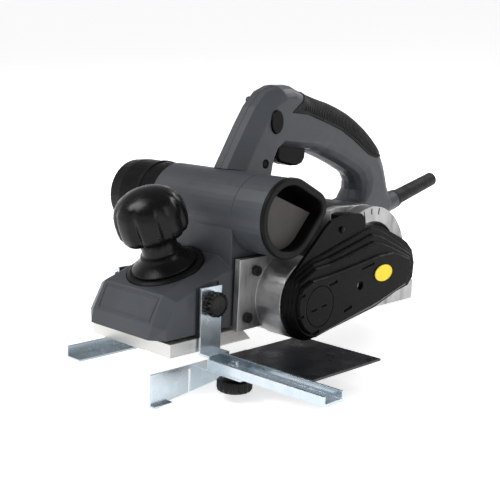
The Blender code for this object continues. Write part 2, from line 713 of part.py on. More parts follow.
def cord_guard():
    """Rubber sleeve at the tail of the handle, open at its end."""
    profile = [(4.0, 78), (6.3, 78), (6.7, 30), (7.0, 19), (8.2, 18.5), (8.2, 14.5), (5.2, 14.4),
               (5.2, 0), (4.0, 0)]
    return turned("cord_guard", profile, CORD_FOOT, along_cord(1) - Vector(CORD_FOOT), "rubber", 24)


# ---------------------------------------------------------------- depth control

def depth_knob():
    profile = [(0, 63), (9, 62), (17, 58.5), (23, 52.5), (25.6, 45), (25.2, 38), (22.5, 31.5),
               (18, 27), (14, 25), (13, 22), (13, 14), (14.5, 10.5), (19, 7.5), (24, 5.2),
               (24, 4), (0, 4)]
    return turned("depth_knob", profile, KNOB_FOOT, knob_axis(), "black", 36)


def depth_dial():
    profile = [(9, 3.4), (26, 3.4), (28.6, 2.2), (28.6, 0.2), (9, 0.2)]
    return turned("depth_dial", profile, KNOB_FOOT, knob_axis(), "black", 40)


def depth_spindle():
    """Screw fixed in the knob, with a collar under the roof; its end runs in the shoe's boss."""
    profile = [(0, 3.6), (4.2, 3.6), (4.2, -10), (7.5, -10), (7.5, -13), (4.2, -13), (3.7, -20),
               (3.7, -40), (0, -40)]
    spindle = turned("depth_spindle", profile, KNOB_FOOT, knob_axis(), "steel", 24)
    return spindle


# ---------------------------------------------------------------- drum and motor

def cutter_drum():
    drum = rod("cutter_drum", (-41, *DRUM), (41, *DRUM), DRUM_R, "cast", sides=40)
    combine(drum, rod("drum_shaft_right", (-47, *DRUM), (-40, *DRUM), 6.0, sides=24), "UNION")
    combine(drum, rod("drum_shaft_left", (40, *DRUM), (SHAFT_END, *DRUM), 6.0, sides=24), "UNION")
    for side in (-1, 1):
        y = sorted((DRUM[0] + side * 14, DRUM[0] + side * 30))
        combine(drum, box(f"blade_slot_{side}", (-60, 60), y, sorted(
            (DRUM[1] + side * 1.6, DRUM[1] - side * 9.0))))
    return drum


def blade(name, side):
    y = sorted((DRUM[0] + side * 16, DRUM[0] + side * 27.7))
    z = sorted((DRUM[1] + side * 1.2, DRUM[1] - side * 0.1))
    return box(name, (-41, 41), y, z, "steel")


def blade_clamp(name, side):
    y = sorted((DRUM[0] + side * 14.4, DRUM[0] + side * 24.4))
    z = sorted((DRUM[1] - side * 0.5, DRUM[1] - side * 8.6))
    return box(name, (-40.5, 40.5), y, z, "cast")


def ring(name, centre, x, outer, inner, colour, steps=32):
    length = x[1] - x[0]
    profile = [(inner, length), (outer, length), (outer, 0), (inner, 0)]
    return turned(name, profile, (x[0], *centre), (1, 0, 0), colour, steps)


def belt():
    outer = round_hull(DRUM, DRIVEN_R + 2.6, MOTOR, DRIVE_R + 2.6, 28)
    inner = round_hull(DRUM, DRIVEN_R + GAP, MOTOR, DRIVE_R + GAP, 28)
    return prism("drive_belt", [outer, inner], "X", PULLEY_X[0] + 0.5, PULLEY_X[1] - 0.5, "belt")


def stator():
    body = rod("stator", (-22, *MOTOR), (22, *MOTOR), 39, "dark_steel", sides=36)
    combine(body, rod("stator_bore", (-60, *MOTOR), (60, *MOTOR), 24, sides=32))
    combine(body, box("stator_flat", (-60, 60), (MOTOR[0] - 50, MOTOR[0] + 50),
                      (-40, MOTOR[1] - 29)))
    return body


def brush_holder(name, side):
    y = sorted((MOTOR[0] + side * 13.6, MOTOR[0] + side * 34))
    holder = box(name, (-45, -36), y, (MOTOR[1] - 5, MOTOR[1] + 5), "copper")
    return holder


# ---------------------------------------------------------------- guide

def guide_bracket():
    """Strap, step and channel arm, one bent sheet."""
    t = SHEET
    strap = [(43.6, 46), (43.6, -0.2 - t), (52.7, -0.2 - t), (52.7, ARM_FLOOR), (ARM_END, ARM_FLOOR),
             (ARM_END, ARM_FLOOR + t), (52.7 + t, ARM_FLOOR + t), (52.7 + t, -0.2), (43.6 + t, -0.2),
             (43.6 + t, 46)]
    bracket = prism("guide_bracket", [strap], "Y", *ARM_Y, "zinc")
    for i, y in enumerate((ARM_Y[0], ARM_Y[1] - t)):
        combine(bracket, box(f"arm_flange_{i}", (52.7, ARM_END), (y, y + t), (ARM_FLOOR, ARM_TOP)),
                "UNION")
    combine(bracket, box("arm_slot", (64, 146), (ARM_MID - 3.4, ARM_MID + 3.4), (-20, 0)))
    combine(bracket, rod("strap_hole", (40, ARM_MID, 34), (50, ARM_MID, 34), 3.4, sides=20))
    return bracket


def guide_fence():
    """Fence web with a folded foot, and the tab that slides under the arm."""
    t = 1.6
    top = ARM_FLOOR - GAP
    angle = [(FENCE_X, FENCE_BOTTOM), (FENCE_X + 5.5, FENCE_BOTTOM), (FENCE_X + 5.5, FENCE_BOTTOM + t),
             (FENCE_X + t, FENCE_BOTTOM + t), (FENCE_X + t, top - 0.4), (FENCE_X, top - 0.4)]
    web = prism("guide_fence", [angle], "Y", -155, -60, "zinc")
    combine(web, box("fence_tab", (FENCE_X + 0.6, 84), (ARM_Y[0] + 0.6, ARM_Y[1] - 0.6),
                     (top - t, top)), "UNION")
    combine(web, box("fence_relief", (30, 37.4), (-120.2, -118.2), (-30, top - 3)))
    combine(web, rod("fence_hole", (FENCE_BOLT_X, ARM_MID, -30), (FENCE_BOLT_X, ARM_MID, 0), 3.4,
                     sides=20))
    return web


def fence_bolt():
    x = FENCE_BOLT_X
    bolt = rod("fence_bolt", (x, ARM_MID, -22), (x, ARM_MID, -1.5), 2.9, "zinc", sides=20)
    combine(bolt, rod("bolt_head", (x, ARM_MID, ARM_FLOOR + SHEET + GAP),
                      (x, ARM_MID, ARM_FLOOR + SHEET + 3.6), 5.2, sides=6), "UNION")
    return bolt


def fence_knob():
    profile = [(3.2, 0), (7, 0), (8, -2), (12.3, -3), (12.5, -9.5), (10.5, -11), (3.2, -11)]
    top = ARM_FLOOR - GAP - 1.6 - GAP
    return turned("fence_knob", profile, (FENCE_BOLT_X, ARM_MID, top), (0, 0, 1), "black", 28)


def clamp_knob(name, side):
    """Thumb screw that clamps a strap to the housing's side."""
    seat = side * (43.6 + SHEET + GAP)
    knob = rod(name, (seat, ARM_MID, 34), (seat + side * 8.0, ARM_MID, 34), 9.0, "black", sides=28)
    combine(knob, rod(name + "_stud", (seat + side * 3, ARM_MID, 34), (side * 32, ARM_MID, 34), 2.9,
                      sides=16), "UNION")
    return knob


def guide_plate():
    """Flat black plate behind the arm, its front edge folded down against the arm's flange."""
    front = ARM_Y[1] + GAP
    plate = box("guide_plate", (54, 130), (front, -21.4), (ARM_TOP - 1.6, ARM_TOP), "dark_steel")
    combine(plate, box("plate_fold", (54, 130), (front, front + 1.6), (ARM_FLOOR, ARM_TOP)),
            "UNION")
    return plate


def rail_bracket():
    """Strap on the right side with a foot that reaches in under the sole."""
    t = SHEET
    low = ARM_FLOOR - GAP - t
    strap = [(-43.6, 46), (-43.6 - t, 46), (-43.6 - t, low), (-14, low), (-14, low + t),
             (-43.6, low + t)]
    bracket = prism("rail_bracket", [strap], "Y", *ARM_Y, "zinc")
    combine(bracket, rod("rail_strap_hole", (-50, ARM_MID, 34), (-40, ARM_MID, 34), 3.4, sides=20))
    combine(bracket, rod("rail_rivet_hole", (-22, ARM_MID, -20), (-22, ARM_MID, 0), 2.4, sides=16))
    return bracket


def side_rail():
    """L-section rail along the front right of the sole."""
    t = 1.6
    rail = box("side_rail", (-28.8 - t, -28.8), (-175, -62), (ARM_FLOOR, -1.0), "zinc")
    combine(rail, box("rail_flange", (-29.5, -15.8), (-175, -62), (ARM_FLOOR, ARM_FLOOR + t)),
            "UNION")
    combine(rail, rod("rail_hole", (-22, ARM_MID, -20), (-22, ARM_MID, 0), 2.4, sides=16))
    return rail


def rail_rivet():
    profile = [(0, 5), (3, 4.6), (4, 3.9), (2.1, 3.9), (2.1, -1), (4, -1), (3, -1.7), (0, -2.2)]
    low = ARM_FLOOR - GAP - SHEET
    profile = [(r, low + h * 0.9 if h < 0 else low + h + 0.4) for r, h in profile]
    profile[4] = (2.1, low - GAP)
    profile[5] = (4, low - GAP)
    return turned("rail_rivet", profile, (-22, ARM_MID, 0), (0, 0, 1), "zinc", 20)


# ---------------------------------------------------------------- assembly

def build():
    front_shoe()
    rear_base()
    belt_case()
    for name, (y, z) in FLANGE_SCREWS.items():
        pan_screw(name, y, z, CASE_X + CASE_PLATE, 34)
    belt_cover()
    cover_badge()
    front_housing()
    duct_outlet()
    duct_rim()
    duct_baffle()
    duct_flap()
    duct_adapter()
    motor_housing()
    handle_shell("handle_left", 1)
    handle_shell("handle_right", -1)
    handle_grip()
    lock_button()
    trigger()
    switch_body()
    coil("trigger_spring", (0, 14, 147.4), (0, 0, 1), 4.0, 0.35, 4.7, 3)
    cord_guard()
    depth_knob()
    depth_dial()
    depth_spindle()
    coil("depth_spring", along_knob(-33.7), knob_axis(), 6.6, 0.8, 20.2, 6)
    cutter_drum()
    for tag, side in (("front", -1), ("rear", 1)):
        blade(f"blade_{tag}", side)
        blade_clamp(f"blade_clamp_{tag}", side)
        brush_holder(f"brush_holder_{tag}", side)
    ring("drum_bearing_right", DRUM, (-47, -42.6), 12.7, 6.3, "steel")
    ring("drum_bearing_left", DRUM, (CASE_X + 0.2, CASE_X + 7), 15.7, 6.3, "steel")
    ring("driven_pulley", DRUM, PULLEY_X, DRIVEN_R, 6.3, "cast")
    ring("drive_pulley", MOTOR, PULLEY_X, DRIVE_R, 4.3, "steel")
    belt()
    rod("motor_shaft", (-57, *MOTOR), (SHAFT_END, *MOTOR), 4.0, "steel", sides=24)
    ring("armature_core", MOTOR, (-21, 21), 22.5, 4.3, "copper")
    ring("commutator", MOTOR, (-46, -34), 12.8, 4.3, "copper")
    ring("cooling_fan", MOTOR, (27, 36), 28, 4.3, "black")
    ring("motor_bearing_right", MOTOR, (-57, -50), 10.7, 4.3, "steel")
    ring("motor_bearing_left", MOTOR, (CASE_X + 0.2, CASE_X + 6), 10.7, 4.3, "steel")
    stator()
    guide_bracket()
    guide_fence()
    fence_bolt()
    fence_knob()
    clamp_knob("bracket_knob", 1)
    clamp_knob("rail_knob", -1)
    guide_plate()
    rail_bracket()
    side_rail()
    rail_rivet()


clear_scene()
PARTS = new_collection("hand_planer")
CUTTERS = new_collection("cutters")
CUTTERS.hide_render = True
build()
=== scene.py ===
"""Look of the electric hand planer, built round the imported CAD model."""

import json
import math

import bmesh
import bpy
from mathutils import Matrix, Vector


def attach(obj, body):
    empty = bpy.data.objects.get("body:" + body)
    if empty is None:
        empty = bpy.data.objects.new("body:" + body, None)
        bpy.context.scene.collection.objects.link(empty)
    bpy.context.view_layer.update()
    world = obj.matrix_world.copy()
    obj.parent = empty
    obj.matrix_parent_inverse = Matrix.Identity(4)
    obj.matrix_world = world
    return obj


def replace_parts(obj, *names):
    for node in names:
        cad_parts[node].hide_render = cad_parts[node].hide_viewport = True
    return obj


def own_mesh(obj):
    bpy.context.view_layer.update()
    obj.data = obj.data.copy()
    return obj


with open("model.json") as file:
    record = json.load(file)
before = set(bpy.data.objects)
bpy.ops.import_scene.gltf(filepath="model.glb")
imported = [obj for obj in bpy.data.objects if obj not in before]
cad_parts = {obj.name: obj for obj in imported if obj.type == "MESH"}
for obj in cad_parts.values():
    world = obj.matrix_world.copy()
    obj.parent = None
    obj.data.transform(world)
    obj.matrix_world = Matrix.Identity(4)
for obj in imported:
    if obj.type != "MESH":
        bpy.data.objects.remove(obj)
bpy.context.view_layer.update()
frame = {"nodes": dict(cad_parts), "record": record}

MM = 0.001


# ---------------------------------------------------------------- materials

# The Mix node's sockets for colours, whose names are shared with those for numbers
MIX_A, MIX_B, MIX_RESULT = 6, 7, 2


class Recipe:
    """A material under construction: its node tree and its Principled shader."""

    def __init__(self, name, rough, metal=0.0):
        self.material = bpy.data.materials.new(name)
        self.material.use_nodes = True
        self.tree = self.material.node_tree
        self.shader = self.tree.nodes["Principled BSDF"]
        self.shader.inputs["Metallic"].default_value = metal
        self.shader.inputs["Roughness"].default_value = rough
        self.place = self.tree.nodes.new("ShaderNodeTexCoord").outputs["Object"]

    def node(self, kind, **values):
        made = self.tree.nodes.new(kind)
        for key, value in values.items():
            setattr(made, key, value)
        return made

    def link(self, a, b):
        self.tree.links.new(a, b)

    def stretched(self, scale):
        """Object coordinates scaled differently along each axis."""
        mapping = self.node("ShaderNodeMapping")
        mapping.inputs["Scale"].default_value = scale
        self.link(self.place, mapping.inputs["Vector"])
        return mapping.outputs["Vector"]

    def noise(self, scale, detail=4.0, roughness=0.55, vector=None):
        made = self.node("ShaderNodeTexNoise")
        made.inputs["Scale"].default_value = scale
        made.inputs["Detail"].default_value = detail
        made.inputs["Roughness"].default_value = roughness
        self.link(vector or self.place, made.inputs["Vector"])
        return made.outputs["Fac"]

    def ramp(self, fac, stops):
        made = self.node("ShaderNodeValToRGB")
        elements = made.color_ramp.elements
        while len(elements) < len(stops):
            elements.new(0.5)
        for element, (place, colour) in zip(elements, stops):
            element.position = place
            element.color = (*colour, 1.0)
        self.link(fac, made.inputs["Fac"])
        return made.outputs["Color"]

    def tones(self, fac, dark, light, low=0.30, high=0.70):
        """Two colours over a noise, which mostly stays between low and high."""
        return self.ramp(fac, [(low, dark), (high, light)])

    def spread(self, fac, low, high, start=0.35, end=0.65):
        """A noise's middle range, start to end, spread over low to high."""
        made = self.node("ShaderNodeMapRange")
        names = ("From Min", "From Max", "To Min", "To Max")
        for name, value in zip(names, (start, end, low, high)):
            made.inputs[name].default_value = value
        self.link(fac, made.inputs["Value"])
        return made.outputs["Result"]

    def mix(self, fac, a, b):
        """Two colours, each a tuple or a socket."""
        made = self.node("ShaderNodeMix", data_type="RGBA")
        self.link(fac, made.inputs["Factor"])
        for socket, value in ((made.inputs[MIX_A], a), (made.inputs[MIX_B], b)):
            if isinstance(value, tuple):
                socket.default_value = (*value, 1.0)
            else:
                self.link(value, socket)
        return made.outputs[MIX_RESULT]

    def edges(self, radius):
        """How close a point is to an edge, from 0 to 1, with the rounded normal it gives."""
        rounded = self.node("ShaderNodeBevel", samples=4)
        rounded.inputs["Radius"].default_value = radius
        geometry = self.node("ShaderNodeNewGeometry")
        dot = self.node("ShaderNodeVectorMath", operation="DOT_PRODUCT")
        self.link(rounded.outputs["Normal"], dot.inputs[0])
        self.link(geometry.outputs["Normal"], dot.inputs[1])
        closeness = self.spread(dot.outputs["Value"], 1.0, 0.0, start=0.90, end=0.995)
        return closeness, rounded.outputs["Normal"]

    def bumps(self, heights, normal=None):
        """Bump layers: (height socket, strength, distance in metres)."""
        for height, strength, distance in heights:
            bump = self.node("ShaderNodeBump")
            bump.inputs["Strength"].default_value = strength
            bump.inputs["Distance"].default_value = distance
            self.link(height, bump.inputs["Height"])
            if normal is not None:
                self.link(normal, bump.inputs["Normal"])
            normal = bump.outputs["Normal"]
        self.link(normal, self.shader.inputs["Normal"])

    def colour(self, socket):
        self.link(socket, self.shader.inputs["Base Color"])

    def rough(self, socket):
        self.link(socket, self.shader.inputs["Roughness"])


def shades(base, spread):
    """A darker and a lighter version of a colour."""
    return tuple(c * (1 - spread) for c in base), tuple(c * (1 + spread) for c in base)


def brighter(base, times, more=0.0):
    return tuple(min(1.0, c * times + more) for c in base)


def plastic(name, base, rough, grain=1800.0, wear=0.35, shine=0.36):
    """Moulded plastic: fine spark-eroded grain, cloudy tone and edges rubbed lighter."""
    made = Recipe(name, rough)
    cloud = made.tones(made.noise(scale=22, detail=5), *shades(base, 0.10))
    edge, normal = made.edges(radius=0.0009)
    worn = made.node("ShaderNodeMath", operation="MULTIPLY")
    made.link(edge, worn.inputs[0])
    made.link(made.spread(made.noise(scale=90, detail=3), 0.0, wear), worn.inputs[1])
    made.colour(made.mix(worn.outputs[0], cloud, brighter(base, 1.9, 0.03)))
    made.rough(made.spread(made.noise(scale=140), rough - 0.06, rough + 0.08))
    made.bumps([(made.noise(grain, detail=2, roughness=0.5), 0.35, 0.00008),
                (made.noise(scale=60, detail=2), 0.12, 0.0003)], normal)
    made.shader.inputs["Specular IOR Level"].default_value = shine
    return made.material


def soft_rubber(name, base, rough=0.62):
    """Matt rubber with a fine grain and a faint sheen."""
    made = Recipe(name, rough)
    made.colour(made.tones(made.noise(scale=40, detail=6), *shades(base, 0.18)))
    made.rough(made.spread(made.noise(scale=220, detail=3), rough - 0.1, rough + 0.1))
    made.bumps([(made.noise(scale=2600, detail=2), 0.5, 0.0001),
                (made.noise(scale=120, detail=3), 0.15, 0.0003)], made.edges(radius=0.0006)[1])
    made.shader.inputs["Specular IOR Level"].default_value = 0.25
    made.shader.inputs["Sheen Weight"].default_value = 0.03
    return made.material


def cast_metal(name, base, rough):
    """Die-cast aluminium, shot-blasted: pebbled bump, streaky tone, and a painted highlight that
    brightens every edge.
    """
    made = Recipe(name, rough, metal=0.85)
    dark, light = shades(base, 0.16)
    streak = made.noise(1.0, detail=6, roughness=0.65, vector=made.stretched((26.0, 60.0, 14.0)))
    deep = brighter(base, 0.45)
    cloud = made.ramp(streak, [(0.30, deep), (0.46, dark), (0.68, light)])
    edge, normal = made.edges(radius=0.001)
    # Painted highlight: every edge lightened evenly towards a brighter base, as if catching the
    # light
    shine = made.spread(edge, 0.0, 0.7, start=0.0, end=1.0)
    made.colour(made.mix(shine, cloud, brighter(base, 1.35)))
    made.rough(made.spread(made.noise(scale=120), rough - 0.08, rough + 0.14))
    made.bumps([(made.noise(scale=700, detail=3), 0.35, 0.00015),
                (made.noise(scale=70, detail=2), 0.2, 0.0005)], normal)
    return made.material


def machined(name, base, rough, direction, metal=0.9):
    """Ground or milled metal with fine lines: direction scales the noise across the lines."""
    made = Recipe(name, rough, metal)
    lines = made.noise(1.0, detail=6, roughness=0.6, vector=made.stretched(direction))
    made.colour(made.tones(lines, *shades(base, 0.10)))
    made.rough(made.spread(lines, rough - 0.08, rough + 0.12))
    made.bumps([(lines, 0.3, 0.00006), (made.noise(scale=35, detail=3), 0.1, 0.0004)],
               made.edges(radius=0.0005)[1])
    return made.material


def zinc(name, base, rough):
    """Zinc plated sheet: bluish, faint cloudy spangle and a rolled grain."""
    made = Recipe(name, rough, metal=0.92)
    cell = made.node("ShaderNodeTexVoronoi")
    cell.inputs["Scale"].default_value = 190.0
    made.link(made.place, cell.inputs["Vector"])
    spangle = made.tones(cell.outputs["Color"], *shades(base, 0.035), low=0.2, high=0.8)
    haze = made.spread(made.noise(scale=38, detail=6), 0.0, 0.25)
    cool = (base[0] * 0.80, base[1] * 0.92, base[2] * 1.05)
    made.colour(made.mix(haze, spangle, cool))
    rolled = made.noise(1.0, roughness=0.6, vector=made.stretched((60.0, 1400.0, 1400.0)))
    made.rough(made.spread(made.noise(scale=70, detail=5), rough - 0.03, rough + 0.07))
    made.bumps([(rolled, 0.10, 0.00004), (made.noise(scale=25, detail=2), 0.04, 0.0006)],
               made.edges(radius=0.0005)[1])
    return made.material


def painted_sheet(name, base, rough=0.30):
    """Blackened sheet steel with a slight orange peel and dusty scuffs."""
    made = Recipe(name, rough, metal=0.25)
    cloud = made.tones(made.noise(scale=18, detail=6), *shades(base, 0.15), low=0.35, high=0.65)
    scuff = made.noise(1.0, detail=6, roughness=0.7, vector=made.stretched((40.0, 260.0, 260.0)))
    dust = made.spread(scuff, 0.0, 0.25, start=0.62, end=0.78)
    made.colour(made.mix(dust, cloud, brighter(base, 1.0, 0.035)))
    made.rough(made.spread(made.noise(scale=60, detail=5), rough - 0.06, rough + 0.15))
    made.bumps([(made.noise(scale=420, detail=2), 0.15, 0.0001)], made.edges(radius=0.0005)[1])
    return made.material


def copper(name):
    """Wound copper wire, its turns drawn by noise stretched along them."""
    made = Recipe(name, 0.38, metal=0.9)
    turns = made.noise(1.0, detail=3, roughness=0.5, vector=made.stretched((900.0, 40.0, 40.0)))
    made.colour(made.tones(turns, (0.30, 0.11, 0.045), (0.62, 0.27, 0.12)))
    made.bumps([(turns, 0.4, 0.0002)])
    return made.material


SLATE = plastic("slate_plastic", (0.052, 0.057, 0.064), 0.40, shine=0.32)
BLACK = plastic("black_plastic", (0.004, 0.004, 0.0038), 0.36, wear=0.10, shine=0.09)
SATIN = plastic("dark_rim_plastic", (0.006, 0.006, 0.0058), 0.40, wear=0.10, shine=0.10)
KNOB = plastic("knob_plastic", (0.003, 0.003, 0.0029), 0.26, grain=2600, wear=0.05, shine=0.20)
COVER = plastic("cover_plastic", (0.0035, 0.0035, 0.0033), 0.30, grain=1500, wear=0.35, shine=0.06)
FLAP = plastic("flap_plastic", (0.066, 0.061, 0.058), 0.55, wear=0.1, shine=0.2)
RUBBER = soft_rubber("grip_rubber", (0.006, 0.0063, 0.0053))
RIB = soft_rubber("rib_rubber", (0.012, 0.0125, 0.011), 0.6)
BELT = soft_rubber("belt_rubber", (0.02, 0.02, 0.02), 0.8)
CAST = cast_metal("cast_aluminium", (0.42, 0.42, 0.42), 0.36)
SOLE = machined("milled_sole", (0.66, 0.65, 0.62), 0.36, (1500.0, 30.0, 1500.0), 0.75)
BASE = cast_metal("base_aluminium", (0.50, 0.50, 0.49), 0.38)
ZINC = zinc("zinc_plate", (0.56, 0.62, 0.66), 0.22)
STEEL = machined("ground_steel", (0.42, 0.42, 0.43), 0.28, (30.0, 1500.0, 1500.0))
DARK_STEEL = painted_sheet("blackened_steel", (0.010, 0.011, 0.014))
COPPER = copper("copper_winding")
# Near black painted shade: stands in for the shade inside the screws' cross recesses and the
# adapter's slots, and also gives the case's ticks their colour
RECESS_SHADE = plastic("recess_shade_black", (0.004, 0.004, 0.004), 0.6, wear=0.0)
YELLOW = plastic("yellow_badge", (0.85, 0.66, 0.006), 0.35, wear=0.0)

BY_SLOT = {
    "slate": SLATE, "black": BLACK, "rubber": RUBBER, "cast": CAST, "sole": SOLE, "zinc": ZINC,
    "steel": STEEL, "dark_steel": DARK_STEEL, "copper": COPPER, "flap": FLAP, "yellow": YELLOW,
    "belt": BELT,
}
BY_NODE = {
    "rear_base": BASE, "belt_cover": COVER, "duct_rim": SATIN, "depth_knob": KNOB,
    "depth_dial": SATIN,
}


def dress(obj, material):
    obj.data.materials.clear()
    obj.data.materials.append(material)


for part in frame["record"]["subparts"]:
    node = part["node"]
    dress(frame["nodes"][node], BY_NODE.get(node, BY_SLOT[part["material_slot"]]))


# ---------------------------------------------------------------- pieces

# Places on the CAD that the pieces are fitted to, in millimetres
LEAN = math.radians(22)
KNOB_AXIS = Vector((0.0, -math.sin(LEAN), math.cos(LEAN)))
KNOB_FOOT = (0, -110, 52)
CLAMP_Y = -107.5  # the line of the guide's and the rail's clamping knobs
DUCT = (-57.0, 92.5)  # y and z of the cross duct's axis
MOTOR = (56, 45)  # y and z of the motor's axis
CASE_FACE = 60.02


def placed(name, bm, material, body, smooth=35):
    """A bmesh in millimetres made into a piece that rides on a body."""
    bmesh.ops.recalc_face_normals(bm, faces=bm.faces)
    bmesh.ops.scale(bm, vec=(MM, MM, MM), verts=bm.verts)
    mesh = bpy.data.meshes.new(name)
    bm.to_mesh(mesh)
    bm.free()
    obj = bpy.data.objects.new(name, mesh)
    bpy.context.scene.collection.objects.link(obj)
    mesh.shade_smooth()
    mesh.set_sharp_from_angle(angle=math.radians(smooth))
    dress(obj, material)
    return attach(obj, body)


def skin(bm, rings, caps=True):
    """Faces between neighbouring rings of vertices, and over the first and the last ring."""
    for low, high in zip(rings, rings[1:]):
        for i in range(len(low)):
            bm.faces.new((low[i - 1], low[i], high[i], high[i - 1]))
    if caps:
        bm.faces.new(rings[0])
        bm.faces.new(rings[-1])


def lathe(bm, profile, foot, axis, steps, lobes=0, sharpness=1.6):
    """Turn a profile of (radius, height, lobe depth) about an axis; lobes scallop its side."""
    turn = Vector(axis).to_track_quat("Z", "Y")
    rings = []
    for radius, height, depth in profile:
        ring = []
        for i in range(steps):
            angle = 2 * math.pi * i / steps
            dip = depth * (0.5 - 0.5 * math.cos(lobes * angle)) ** sharpness
            reach = radius - dip
            point = Vector((reach * math.cos(angle), reach * math.sin(angle), height))
            ring.append(bm.verts.new(Vector(foot) + turn @ point))
        rings.append(ring)
    skin(bm, rings)


BLOCK_FACES = ((0, 1, 3, 2), (4, 6, 7, 5), (0, 4, 5, 1), (2, 3, 7, 6), (0, 2, 6, 4), (1, 5, 7, 3))


def block(bm, centre, along, across, size):
    """A bar: size is its length along, width across, and height."""
    u, v = Vector(along).normalized(), Vector(across).normalized()
    u, v, w = (axis * (side / 2) for axis, side in zip((u, v, u.cross(v)), size))
    verts = [bm.verts.new(Vector(centre) + u * a + v * b + w * c)
             for a in (-1, 1) for b in (-1, 1) for c in (-1, 1)]
    for face in BLOCK_FACES:
        bm.faces.new([verts[i] for i in face])


def depth_knob():
    """Mushroom knob: plain dome, scalloped side, waist, and a flared skirt."""
    bm = bmesh.new()
    profile = [(24, 4, 0), (24, 5.0, 0), (21.2, 7.2, 0), (18.0, 9.8, 0), (15.8, 12.4, 0),
               (15.3, 14.0, 0), (13.9, 14.6, 0), (13.4, 15.6, 0), (13.2, 20, 0), (13.2, 24.4, 0),
               (14.2, 26.0, 0), (19.4, 26.8, 1.0), (23.4, 28.6, 2.2), (25.3, 32.0, 3.2),
               (25.9, 37, 3.4), (25.9, 43, 3.0), (25.3, 48, 2.0), (23.6, 52.6, 0.9),
               (20.2, 56.8, 0.2), (15.0, 60.0, 0), (8.8, 62.2, 0), (3.0, 63, 0)]
    lathe(bm, profile, KNOB_FOOT, KNOB_AXIS, steps=128, lobes=8, sharpness=5.0)
    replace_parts(placed("knob_body", bm, KNOB, "depth_control", 50), "depth_knob")


TURN_STEPS, WIRE_SIDES = 18, 8


def coil(name, node, body, foot, axis, shape):
    """Compression spring: shape is radius, wire radius, height and turns."""
    radius, wire, height, turns = shape
    turn = Vector(axis).to_track_quat("Z", "Y")
    steps = TURN_STEPS * turns
    bm = bmesh.new()
    rings = []
    for i in range(steps + 1):
        angle = 2 * math.pi * i / TURN_STEPS
        out = Vector((math.cos(angle), math.sin(angle), 0.0))
        centre = out * radius + Vector((0, 0, wire + (height - 2 * wire) * i / steps))
        ring = []
        for k in range(WIRE_SIDES):
            t = 2 * math.pi * k / WIRE_SIDES
            point = centre + out * (wire * math.cos(t)) + Vector((0, 0, wire * math.sin(t)))
            ring.append(bm.verts.new(Vector(foot) + turn @ point))
        rings.append(ring)
    skin(bm, rings)
    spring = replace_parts(placed(name, bm, STEEL, body, 60), node)
    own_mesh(spring)


def springs():
    """The two springs, under the depth knob and at the trigger, each drawn at one length; in the
    machine they shorten as the shoe lifts and as the trigger is pulled.
    """
    below_knob = 33.7
    coil("depth_coil", "depth_spring", "machine", Vector(KNOB_FOOT) - KNOB_AXIS * below_knob,
         KNOB_AXIS, (6.6, 0.8, 20.0, 6))
    coil("trigger_coil", "trigger_spring", "machine", (0, 14, 147.5), (0, 0, 1),
         (4.0, 0.35, 4.6, 3))


def thumb_knob(name, node, body, foot, axis, radius, profile, lobes):
    """Knurled knob: the profile's radii are shares of the knob's radius."""
    bm = bmesh.new()
    lathe(bm, [(radius * r, h, d) for r, h, d in profile], foot, axis, 4 * lobes, lobes)
    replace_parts(placed(name, bm, KNOB, body, 25), node)


def thumb_knobs():
    """The bracket's, the rail's and the fence's knobs."""
    side = [(0.35, 0, 0), (0.86, 0, 0), (0.86, 1.0, 0), (0.97, 1.2, 1.0), (1.0, 1.9, 1.2),
            (1.0, 6.6, 1.2), (0.95, 7.6, 1.0), (0.80, 7.9, 0), (0.76, 7.0, 0), (0.3, 7.0, 0)]
    thumb_knob("bracket_knob_head", "bracket_knob", "bracket_screw", (45.6, CLAMP_Y, 34),
               (1, 0, 0), 9.0, side, 16)
    thumb_knob("rail_knob_head", "rail_knob", "rail_screw", (-45.6, CLAMP_Y, 34),
               (-1, 0, 0), 9.0, side, 16)
    low = [(0.26, 0, 0), (0.56, 0, 0), (0.64, 2.0, 0), (0.96, 3.0, 1.0), (1.0, 4.0, 1.3),
           (1.0, 9.0, 1.3), (0.93, 10.4, 1.0), (0.80, 11, 0), (0.70, 10.2, 0), (0.3, 10.2, 0)]
    thumb_knob("fence_knob_head", "fence_knob", "fence_nut", (70, CLAMP_Y, -11.9),
               (0, 0, -1), 12.5, low, 18)


def screw(name, centre, axis, radius, material=DARK_STEEL):
    """Pan head, as a turned piece, and its cross recess, as a second, darker one of painted shade.
    """
    bm = bmesh.new()
    height = radius * 0.55
    profile = [(radius * 0.9, -1.2, 0), (radius * 0.98, 0, 0), (radius, height * 0.35, 0),
               (radius * 0.9, height * 0.75, 0), (radius * 0.62, height, 0)]
    lathe(bm, profile, centre, axis, steps=28)
    placed(name, bm, material, "machine")
    out = Vector(axis).normalized()
    side = out.cross(Vector((0, 0.3, 1))).normalized()
    other = out.cross(side)
    middle, size = Vector(centre) + out * (height - 0.2), (radius * 1.05, radius * 0.26, 0.55)
    # The cross recess: two near-black bars laid on the head, painted shade where the recess's
    # hollow would be
    bm = bmesh.new()
    for u, v in ((side, other), (other, side)):
        block(bm, middle, u, v, size)
    placed(name + "_recess_shade", bm, RECESS_SHADE, "machine")


HANDLE_SCREWS = ((-15.6, -36, 122), (-14.2, -14, 171), (-15.9, 124, 98), (-16.3, 119, 76))
MOTOR_SCREWS = tuple((-62.2, y, z) for y, z in ((22, 22), (90, 22), (22, 72), (90, 72)))


def screws():
    """Screw heads in the belt side, the right handle shell and the motor housing."""
    screw("handle_screw_front", (14.4, -25.6, 124.5), (1, 0, 0), 3.0, BLACK)
    screw("cover_screw", (74.6, -2, 80), (1, 0, 0), 2.3, BLACK)
    for i, place in enumerate(HANDLE_SCREWS):
        screw(f"handle_screw_{i}", place, (-1, 0, 0), 3.0)
    for i, place in enumerate(MOTOR_SCREWS):
        screw(f"motor_screw_{i}", place, (-1, 0, 0), 2.6)


TICK_ANGLES, TICK_RADIUS, TICK = (106, 93, 80), 42.2, (5.0, 1.0, 0.3)


